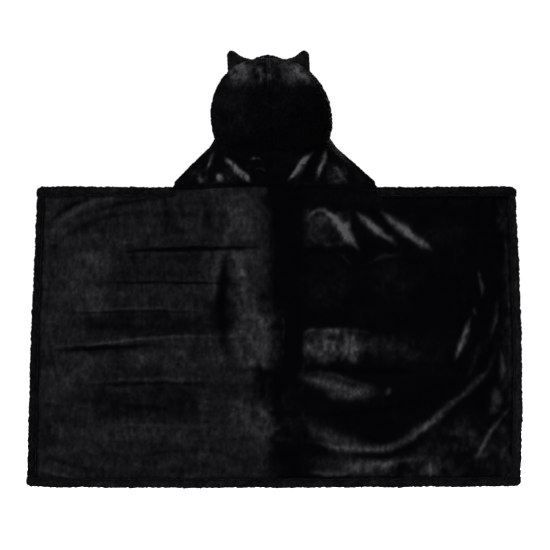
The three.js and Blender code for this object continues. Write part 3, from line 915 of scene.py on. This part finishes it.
def ball_point(side, rise, turn, inset):
    """A place on one half of the ball. rise is 0 at the neckline and 1 at the face opening, and
    turn is 0 at the centre seam and grows to a quarter turn at the corner of the neckline."""
    angle = start_turn + (end_turn - start_turn) * rise
    in_plane = np.stack([np.zeros_like(angle), np.cos(angle), np.sin(angle)], -1)
    sideways = np.array([side, 0.0, 0.0])
    direction = np.cos(turn)[..., None] * in_plane + np.sin(turn)[..., None] * sideways
    reach = reach_ball(corner_middle, direction, inset)
    return corner_middle + direction * reach[..., None] + ball_middle


def ball_normal(points):
    """Unit normals of the ball, pointing out."""
    share = (points - ball_middle) / ball_axes
    slope = np.sign(share) * np.abs(share) ** (ball_squareness - 1) / ball_axes
    return unit(slope)


def ball_layer(name, side, label, inset, cloth, material, cells, detail, low, high, widest):
    """One half of one layer of the ball's wall, between two rises and out to the widest turn.
    Seams are drawn in along its edges."""
    rise, turn = np.meshgrid(
        np.linspace(low, high, cells[0] + 1), np.radians(np.linspace(0, widest, cells[1] + 1)),
        indexing="ij")
    outer = ball_point(side, rise, turn, inset)
    inner = ball_point(side, rise, turn, inset + cloth)[::2, ::2]
    normal = ball_normal(outer)
    seam = np.exp(-(np.abs(outer[..., 0]) / 3) ** 2)
    neck = np.exp(-((rise * 330) / 9) ** 2)
    height, nap = laid(CROWN_FOLDS, CROWN_PATCHES, outer[..., 0], outer[..., 2])
    behind = 1 - smooth(ball_middle[1] - 30, ball_middle[1] + 30, outer[..., 1])
    bumps = lumps(outer, (1.6, 38.0, 31), (0.8, 9.0, 32), (2.6, 4.2, 33))
    raised = detail * (bumps + height * behind) - 1.8 * seam - 1.2 * neck
    # Painted sheen: streaks lighter towards the crown, a painted highlight on the ridge beside the
    # centre seam, the crown's painted sheen on the cloth facing back, and darker along the centre seam.
    strokes = noise(outer / (1, 1, 3), 6.0, 35) * smooth(200, 330, outer[..., 2])
    painted_seam_highlight = np.exp(-((np.abs(outer[..., 0]) - 3) / 2.2) ** 2) * smooth(250, 300, outer[..., 2])
    nap = 0.13 + nap * np.maximum(behind, 0.3) + 0.05 * noise(outer, 24.0, 34) - 0.05 * seam
    nap = nap + 0.15 * strokes + 0.16 * painted_seam_highlight + 0.05 * noise(outer, 5.0, 36)
    outer = outer + normal * raised[..., None]
    return hood_layer(name, side, label, outer, inner, material, nap)


def hood_ball(name, side):
    plush = ball_layer(name, side, "hood_plush", 0.0, plush_cloth, PLUSH, (280, 260), 1.0,
                       -neckline_overlap, 1 + hood_overlap, widest_turn)
    place(plush, "outer_plush", [f"{name}_hood_shell"], ride="hood")
    wadding = ball_layer(name, side, "hood_wadding_pad", plush_cloth + layer_gap + 1.2,
                         wadding_cloth - 2.0, WADDING, (80, 72), 0.4, 0.03, wadding_end,
                         wadding_turn)
    place(wadding, "wadding", [f"{name}_hood_wadding"], ride="hood")
    lining = lining_layer(name, side)
    place(lining, "lining_fleece", [f"{name}_hood_lining"], ride="hood")


def lining_layer(name, side):
    """The lining's visible face is turned inwards, so its fine grid is the inner one. At the
    face opening it turns out to meet the plush, beyond the end of the wadding."""
    rise, turn = np.meshgrid(
        np.linspace(0, 1 + hood_overlap, 161), np.radians(np.linspace(0, widest_turn, 151)),
        indexing="ij")
    turned_out = smooth(wadding_end, 1, rise)
    turned_out = np.maximum(turned_out, smooth(wadding_turn, 88, np.degrees(turn)))
    inset = ball_wall - lining_cloth - (wadding_cloth + 0.2) * turned_out
    face = ball_point(side, rise, turn, (inset + lining_cloth)[..., None])
    back = ball_point(side, rise, turn, inset[..., None])[::2, ::2]
    normal = -ball_normal(face)
    raised = lumps(face, (0.8, 30.0, 41), (0.5, 7.0, 42))
    raised -= 1.2 * np.exp(-(np.abs(face[..., 0]) / 5) ** 2)
    face = face + normal * raised[..., None]
    nap = LINING_TONE_LEVEL + 0.12 * noise(face, 40.0, 43)
    return hood_layer(name, side, "hood_lining_cloth", face, back, FLEECE, nap)


def hood_seam_tape():
    """The tape over the lining's centre seam, from the neck over the crown to the brim."""
    rise = np.linspace(0.01, 0.98, 121)
    share = np.linspace(-1, 1, 9)
    rise, share = np.meshgrid(rise, share, indexing="ij")
    inset = ball_wall + layer_gap + 0.7
    side_turn = np.radians(3.4)
    outer = ball_point(1.0, rise, share * side_turn, inset)
    inner = ball_point(1.0, rise, share * side_turn, inset + tape_cloth)
    for face in (outer, inner):
        face[..., 0] = share * seam_tape_width / 2
    piece = layer_piece("hood_seam_tape_strip", lean(outer), lean(inner), TAPE,
                        np.full(rise.shape, 0.2))
    place(piece, "tape", ["hood_seam_tape"], ride="hood")


def roll_piece(label, path, radius, material, sides, fuzz, painted_sheen_and_tone_level):
    """A stuffed fuzzy roll with closed, rounded ends along a path."""
    ahead = unit(np.gradient(path, axis=0))
    across = unit(np.cross(ahead, (0.0, 0.35, 1.0)))
    up = np.cross(across, ahead)
    gaps = np.concatenate([[0], np.cumsum(np.linalg.norm(np.diff(path, axis=0), axis=1))])
    from_end = np.minimum(gaps, gaps[-1] - gaps)
    ends = np.sqrt(np.clip(1 - (1 - np.clip(from_end / radius, 0.03, 1)) ** 2, 0, 1))
    turns = np.linspace(0, 2 * math.pi, sides, endpoint=False)
    ring = np.cos(turns)[None, :, None] * across[:, None] + np.sin(turns)[None, :, None] * up[:, None]
    base = path[:, None] + ring * radius
    tufts = lumps(base, (fuzz, 4.0, 51), (0.7 * fuzz, 10.0, 52))
    rings = path[:, None] + ring * ((radius - fuzz * 0.5 + tufts) * ends[:, None])[..., None]
    nap = painted_sheen_and_tone_level + lumps(base, (0.14, 9.0, 53), (0.1, 3.5, 54))
    return tube_piece(label, lean(rings), material, np.maximum(nap, PAINTED_SHEEN_FLOOR))


def face_brim():
    start = face_normal * face_reach
    corner = corner_middle + np.array([corner_half, 0, 0]) - start
    corner_angle = math.atan2(corner[0], corner @ face_up)
    angle = np.linspace(-corner_angle, corner_angle, 401)
    direction = np.sin(angle)[:, None] * np.array([1.0, 0, 0]) + np.cos(angle)[:, None] * face_up
    point = start + direction * reach_ball(start, direction, ball_wall / 2)[:, None]
    fade = np.clip(np.abs(point[:, 0]) / brim_peak_half_width, 0, 1)
    peak = np.where(direction @ face_up > 0, np.cos(fade * math.pi / 2) ** 1.2, 0)
    path = point + face_up * (brim_peak_rise * peak)[:, None]
    path = path + face_normal * (brim_radius - 1.5) + ball_middle
    piece = roll_piece("face_brim_roll", path, brim_radius, EDGE, 40, 1.5, 0.24)
    place(piece, "edge_plush", ["face_brim"], ride="hood")


# ------------------------------ yoke

# The yoke's drag lines are real ridges with a painted highlight along each, some with painted shade
# beside them; its patches are painted sheen.
YOKE_FOLDS = [
    Fold([(-128, 80), (-98, 50), (-64, 10)], 9, 4.5, 1.05),
    Fold([(-110, 88), (-74, 44), (-40, 14)], 8, -2.5, -0.1),
    Fold([(100, 90), (72, 56), (40, 20)], 8, 4.5, 1.15),
    Fold([(120, 84), (98, 50), (70, 14)], 8, -2.5, -0.1),
    Fold([(140, 98), (128, 64), (112, 24)], 8, 4.2, 0.95),
    Fold([(-152, 98), (-164, 72), (-176, 46)], 7, 3.4, 0.6),
    Fold([(-196, 30), (-190, 16), (-204, 6)], 8, 2.4, 0.5),
    Fold([(-146, 36), (-142, 22), (-134, 12)], 8, 2.6, 0.6),
    Fold([(158, 50), (172, 40), (182, 30)], 7, 2.4, 0.6),
    Fold([(-60, 74), (-44, 76), (-28, 72)], 4, 2.4, 0.5),
    Fold([(-50, 46), (-36, 48), (-22, 42)], 4, 2.0, 0.3),
    Fold([(60, 5), (120, 6), (176, 9)], 6, 1.4, 0.3),
    Fold([(-180, 88), (-214, 46), (-240, 10)], 8, 1.8, 0.1),
    Fold([(170, 84), (214, 44), (250, 10)], 8, 1.8, 0.08),
]


YOKE_PATCHES = [
    Patch((-216, 6), (-176, 44), 9, 0.22, 0.8),
    Patch((-160, 6), (-128, 40), 9, 0.22, 0.8),
    Patch((146, 10), (196, 60), 10, 0.20, 0.8),
    Patch((-126, 10), (-60, 60), 12, 0.14, 0.4),
    Patch((60, 0), (180, 14), 8, 0.12),
]


def yoke_point(across, height):
    """The yoke's plush face: from the neck seam at height 0 to the neckline at height 1."""
    turned = across * corner_turn
    backward = -np.cos(turned)
    direction = np.stack([np.sin(turned), backward, backward * neckline_slope], -1)
    length = np.linalg.norm(direction, axis=-1, keepdims=True)
    start = np.array([0, 0, -neckline_drop])
    reach = reach_ball(start, direction / length)[..., None]
    top = start + direction / length * reach + ball_middle
    seam = np.stack([across * neck_half, np.full_like(across, outside),
                     neck_bow(across * neck_half)], -1)
    return seam + (top - seam) * height[..., None]


def yoke_layer(name, side, label, depth, cloth, material, cells, plush):
    across, height = np.meshgrid(
        side * np.linspace(0, 1, cells[0] + 1),
        np.linspace(-yoke_overlap, 1 + yoke_overlap, cells[1] + 1))
    surface = yoke_point(across, height)
    step = 0.002
    sideways = yoke_point(across + step, height) - surface
    upward = yoke_point(across, height + step) - surface
    inward = unit(np.cross(upward, sideways))
    relief, nap = laid(YOKE_FOLDS, YOKE_PATCHES, surface[..., 0], surface[..., 2])
    held = smooth(0, 0.12, height) * (1 - smooth(0.86, 1, height))
    relief = (relief + 1.4 * noise(surface, 40.0, 61)) * held
    ends = np.exp(-(height / 0.035) ** 2)
    tufts = lumps(surface, (0.45, 5.0, 62), (0.3, 11.0, 63))
    visible = (tufts - 2.2 * ends) if plush else 0.6 * tufts
    if plush:
        outer = surface + inward * (depth - relief - visible)[..., None]
        inner = (surface + inward * (depth + cloth - relief)[..., None])[::2, ::2]
        grain = 1 + 0.35 * noise(surface, 6.0, 66) + 0.3 * noise(surface / (1, 1, 2.5), 9.0, 67)
        nap = (0.12 + nap * held + 0.06 * noise(surface, 22.0, 64)) * grain
    else:
        outer = surface + inward * (depth + cloth - relief + visible)[..., None]
        inner = (surface + inward * (depth - relief)[..., None])[::2, ::2]
        nap = LINING_TONE_LEVEL + 0.12 * noise(surface, 40.0, 65)
    return hood_layer(name, side, label, outer, inner, material, nap)


def yoke_half(name, side):
    bend = ("back", "hood", *((0, 0, height * MM) for height in yoke_bend))
    shell = yoke_layer(name, side, "yoke_plush", 0.0, plush_cloth, PLUSH, (240, 160), True)
    place(shell, "outer_plush", [f"{name}_yoke_shell"], blend=bend)
    lining = yoke_layer(name, side, "yoke_lining_cloth", plush_cloth + layer_gap, lining_cloth,
                        FLEECE, (140, 90), False)
    place(lining, "lining_fleece", [f"{name}_yoke_lining"], blend=bend)
    height = np.linspace(0.06, 0.93, 121)
    across = np.full_like(height, float(side))
    point = yoke_point(across, height)
    sideways = point - yoke_point(across - side * 0.002, height)
    upward = np.gradient(point, axis=0)
    inward = unit(np.cross(upward, sideways * side))
    off_edge = unit(np.cross(inward, upward) * side)
    path = point + off_edge * (yoke_roll_radius - 4.5) + inward * body_thickness / 2
    roll = roll_piece(f"{name}_yoke_edge", path, yoke_roll_radius, EDGE, 26, 1.0, 0.2)
    place(roll, "edge_plush", [f"{name}_yoke_binding"], blend=bend)


# ------------------------------ ears


def ear_top_line(reach):
    """Height of the ear's upper edge, where reach is the distance in from its outer side."""
    points = [(0, -11.5), (4, -4.0), (9, -0.6), (14, 0.0), (20, -2.2), (27, -7.5), (36, -14.5),
              (46, -19.0), (58, -22.0), (70, -25.0)]
    return ear_top + np.interp(reach, *zip(*points))


def ear_side(name, side, front):
    """The back or the front cloth of an ear, domed over its filling."""
    reach, share = np.meshgrid(np.linspace(0, ear_width, 61), np.linspace(0, 1, 49), indexing="ij")
    across = ear_outer - reach
    crown = (1 - (across / ball_axes[0]) ** ball_squareness) ** (1 / ball_squareness)
    foot = ball_middle[2] + ball_axes[2] * crown - 5.0
    top = np.maximum(ear_top_line(reach), foot + 1.0)
    up = foot + (top - foot) * share
    from_edge = np.minimum(reach + 0.4, (top - up) * 0.85 + 0.4)
    fullness = np.sqrt(1 - (1 - np.clip(from_edge / ear_edge, 0, 1)) ** 2)
    flare = 1 - 0.35 * smooth(0.3, 1, share)
    spread = (ear_thickness / 2 - 1) * fullness * flare + 0.3
    middle = ball_middle[1] + ear_forward
    facing = 1 if front else -1
    flat = np.stack([across * side, np.full_like(across, middle), up], -1)
    tufts = lumps(flat, (0.5, 4.2, 71 + front), (0.4, 9.0, 73 + front))
    hollow = 3.0 * smooth(3, 20, from_edge) if front else 0.0
    outer = flat.copy()
    outer[..., 1] += facing * (spread + tufts * smooth(0, 3, from_edge) - hollow)
    edge_lumps = 0.9 * noise(flat, 4.0, 75)
    outer[..., 0] += side * edge_lumps * np.exp(-reach / 3)
    outer[..., 2] += edge_lumps * np.exp(-(top - up) / 3)
    inner = flat.copy()
    inner[..., 1] += facing * np.maximum(spread - plush_cloth - hollow, 0.05)
    inner = inner[::2, ::2]
    nap = 0.35 + lumps(flat, (0.12, 14.0, 76), (0.08, 5.0, 77))
    label = "front" if front else "back"
    piece = layer_piece(f"{name}_ear_{label}_plush", lean(outer), lean(inner), PLUSH, nap, thinning=2)
    place(piece, "outer_plush", [f"{name}_ear_{label}"], ride="hood")


def ear_filling(name, side):
    """Loose wadding between the two faces of an ear."""
    height = np.linspace(0, 1, 25)
    turns = np.linspace(0, 2 * math.pi, 28, endpoint=False)
    middle = ball_middle[1] + ear_forward
    foot = ball_middle[2] + ball_axes[2] * 0.83
    top = ear_top - 9
    up = foot + (top - foot) * height
    narrow = np.sqrt(np.clip(1 - height ** 2 * 0.96, 0.02, 1))
    centre = ear_outer - 18 - 4 * (1 - height)
    rings = np.stack([
        side * (centre[:, None] + 11 * narrow[:, None] * np.cos(turns)[None]),
        middle + 6.0 * narrow[:, None] * np.sin(turns)[None],
        np.repeat(up[:, None], len(turns), 1),
    ], -1)
    rings[..., 1] += 0.5 * noise(rings, 6.0, 81)
    piece = tube_piece(f"{name}_ear_stuffing", lean(rings), WADDING)
    place(piece, "wadding", [f"{name}_ear_filling"], ride="hood")


def ear(name, side):
    ear_filling(name, side)
    ear_side(name, side, False)
    ear_side(name, side, True)


# ------------------------------ stage

camera_distance = 7.0
camera_height = -0.2307
view_width = 1.4418
floor_height = cad_box[0][2] - 0.09


def stage():
    camera = bpy.data.cameras.new("camera")
    camera.sensor_width = 36
    camera.lens = camera.sensor_width * camera_distance / view_width
    camera.clip_end = 100
    holder = bpy.data.objects.new("camera", camera)
    holder.location = (0, -camera_distance, camera_height)
    holder.rotation_euler = (math.radians(90), 0, 0)
    bpy.context.scene.collection.objects.link(holder)
    bpy.context.scene.camera = holder

    mesh = bpy.data.meshes.new("floor")
    size = 14.0
    mesh.from_pydata([(x * size, y * size, floor_height) for x, y in
                      ((-1, -1), (1, -1), (1, 1), (-1, 1))], [], [(0, 1, 2, 3)])
    material, tree, shader = node_material("pale floor", (0.9, 0.9, 0.9), 0.9, 0.0, 0.5, 0.1)
    shader.inputs["Emission Color"].default_value = (1, 1, 1, 1)
    shader.inputs["Emission Strength"].default_value = 0.7
    mesh.materials.append(material)
    floor = bpy.data.objects.new("floor", mesh)
    bpy.context.scene.collection.objects.link(floor)

    world = bpy.data.worlds.new("studio")
    world.use_nodes = True
    tree = world.node_tree
    backdrop = tree.nodes["Background"]
    backdrop.inputs["Color"].default_value = (1, 1, 1, 1)
    seen = add(tree, "ShaderNodeLightPath").outputs["Is Camera Ray"]
    strength = ranged(tree, seen, to_min=0.45, to_max=1.05)
    tree.links.new(strength, backdrop.inputs["Strength"])
    bpy.context.scene.world = world
    bpy.context.scene.view_settings.view_transform = "Standard"

    for name, place_at, size, power, target in (
        ("top_softbox", (-0.6, -1.6, 3.4), 2.4, 190, (0, 0, 0.1)),
        ("side_softbox", (-3.4, -2.6, 1.2), 2.2, 80, (0, 0, -0.2)),
        ("front_softbox", (1.2, 4.6, 1.6), 2.8, 190, (0, 0, -0.2)),
    ):
        light = bpy.data.lights.new(name, "AREA")
        light.energy = power
        light.size = size
        holder = bpy.data.objects.new(name, light)
        holder.location = place_at
        aim = Vector(target) - Vector(place_at)
        holder.rotation_euler = aim.to_track_quat("-Z", "Y").to_euler()
        bpy.context.scene.collection.objects.link(holder)


# ------------------------------ assembly

stage()
for half_name, half_side in SIDES:
    body_half(half_name, half_side)
    hood_ball(half_name, half_side)
    yoke_half(half_name, half_side)
    ear(half_name, half_side)
neck_fittings()
hood_seam_tape()
face_brim()
